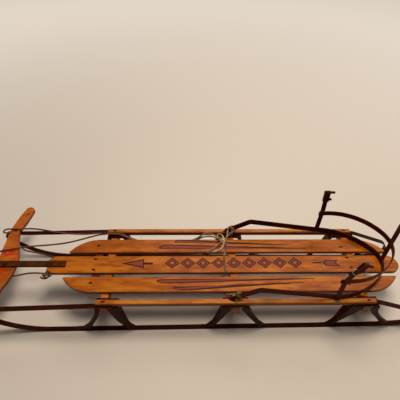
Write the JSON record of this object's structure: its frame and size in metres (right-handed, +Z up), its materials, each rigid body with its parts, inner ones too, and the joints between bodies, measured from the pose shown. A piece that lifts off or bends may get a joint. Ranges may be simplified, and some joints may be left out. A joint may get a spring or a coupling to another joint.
{
  "type": "runner sled",
  "caption": "Wooden slatted sled on bent steel runners with a turning steering bar, a strap guard round its rear and an old tow rope.",
  "frame": {"origin": "on the floor under the middle of the overall length, midway between the runners", "axes": "+X towards the rear, +Y towards the rider's right, +Z up"},
  "size_m": [1.8744, 0.7, 0.4648],
  "materials": {
    "varnished_slats": "old satin varnish",
    "varnished_frame": "old satin varnish",
    "varnished_bar": "worn satin varnish",
    "painted_steel": "worn dark red paint",
    "runner_steel": "worn paint over brown rust",
    "rusty_strap_iron": "dark brown rust",
    "dark_flat_iron": "dark, slightly rusty",
    "bolt_iron": "dull and rusty",
    "pale_cord": "pale cotton",
    "old_cotton_rope": "dirty cotton"
  },
  "bodies": {
    "sled": {"batten": "varnished_frame", "beam_front": "varnished_frame", "beam_middle": "varnished_frame", "beam_rear": "varnished_frame", "cleat_left": "rusty_strap_iron", "cleat_right": "rusty_strap_iron", "cord_tie": "pale_cord", "guard_lower": "rusty_strap_iron", "guard_upper": "rusty_strap_iron", "knee_front_left": "painted_steel", "knee_front_right": "painted_steel", "knee_middle_left": "painted_steel", "knee_middle_right": "painted_steel", "knee_rear_left": "painted_steel", "knee_rear_right": "painted_steel", "lashing_left": "old_cotton_rope", "lashing_right": "old_cotton_rope", "pivot_bolt": "bolt_iron", "rail_left": "varnished_frame", "rail_right": "varnished_frame", "rope_across": "old_cotton_rope", "rope_front": "old_cotton_rope", "rope_hitch": "old_cotton_rope", "rope_inner": "old_cotton_rope", "rope_knot": "old_cotton_rope", "rope_knot_left": "old_cotton_rope", "rope_outer": "old_cotton_rope", "rope_tail": "old_cotton_rope", "rope_to_foot": "old_cotton_rope", "runner_left": "runner_steel", "runner_right": "runner_steel", "slat_left": "varnished_slats", "slat_middle": "varnished_slats", "slat_right": "varnished_slats", "tongue": "dark_flat_iron", "upright_left": "rusty_strap_iron", "upright_rear": "rusty_strap_iron", "upright_right": "rusty_strap_iron"},
    "steering_bar": {"crossbar": "varnished_bar", "bar_bolt_right": "bolt_iron", "bar_bolt_left": "bolt_iron"}
  },
  "joints": [
    {"name": "steer", "type": "hinge", "parent": "sled", "child": "steering_bar", "pos_m": [-0.8602, 0, 0.1957], "axis": [0, 0, 1], "range_deg": [-12, 12]}
  ]
}
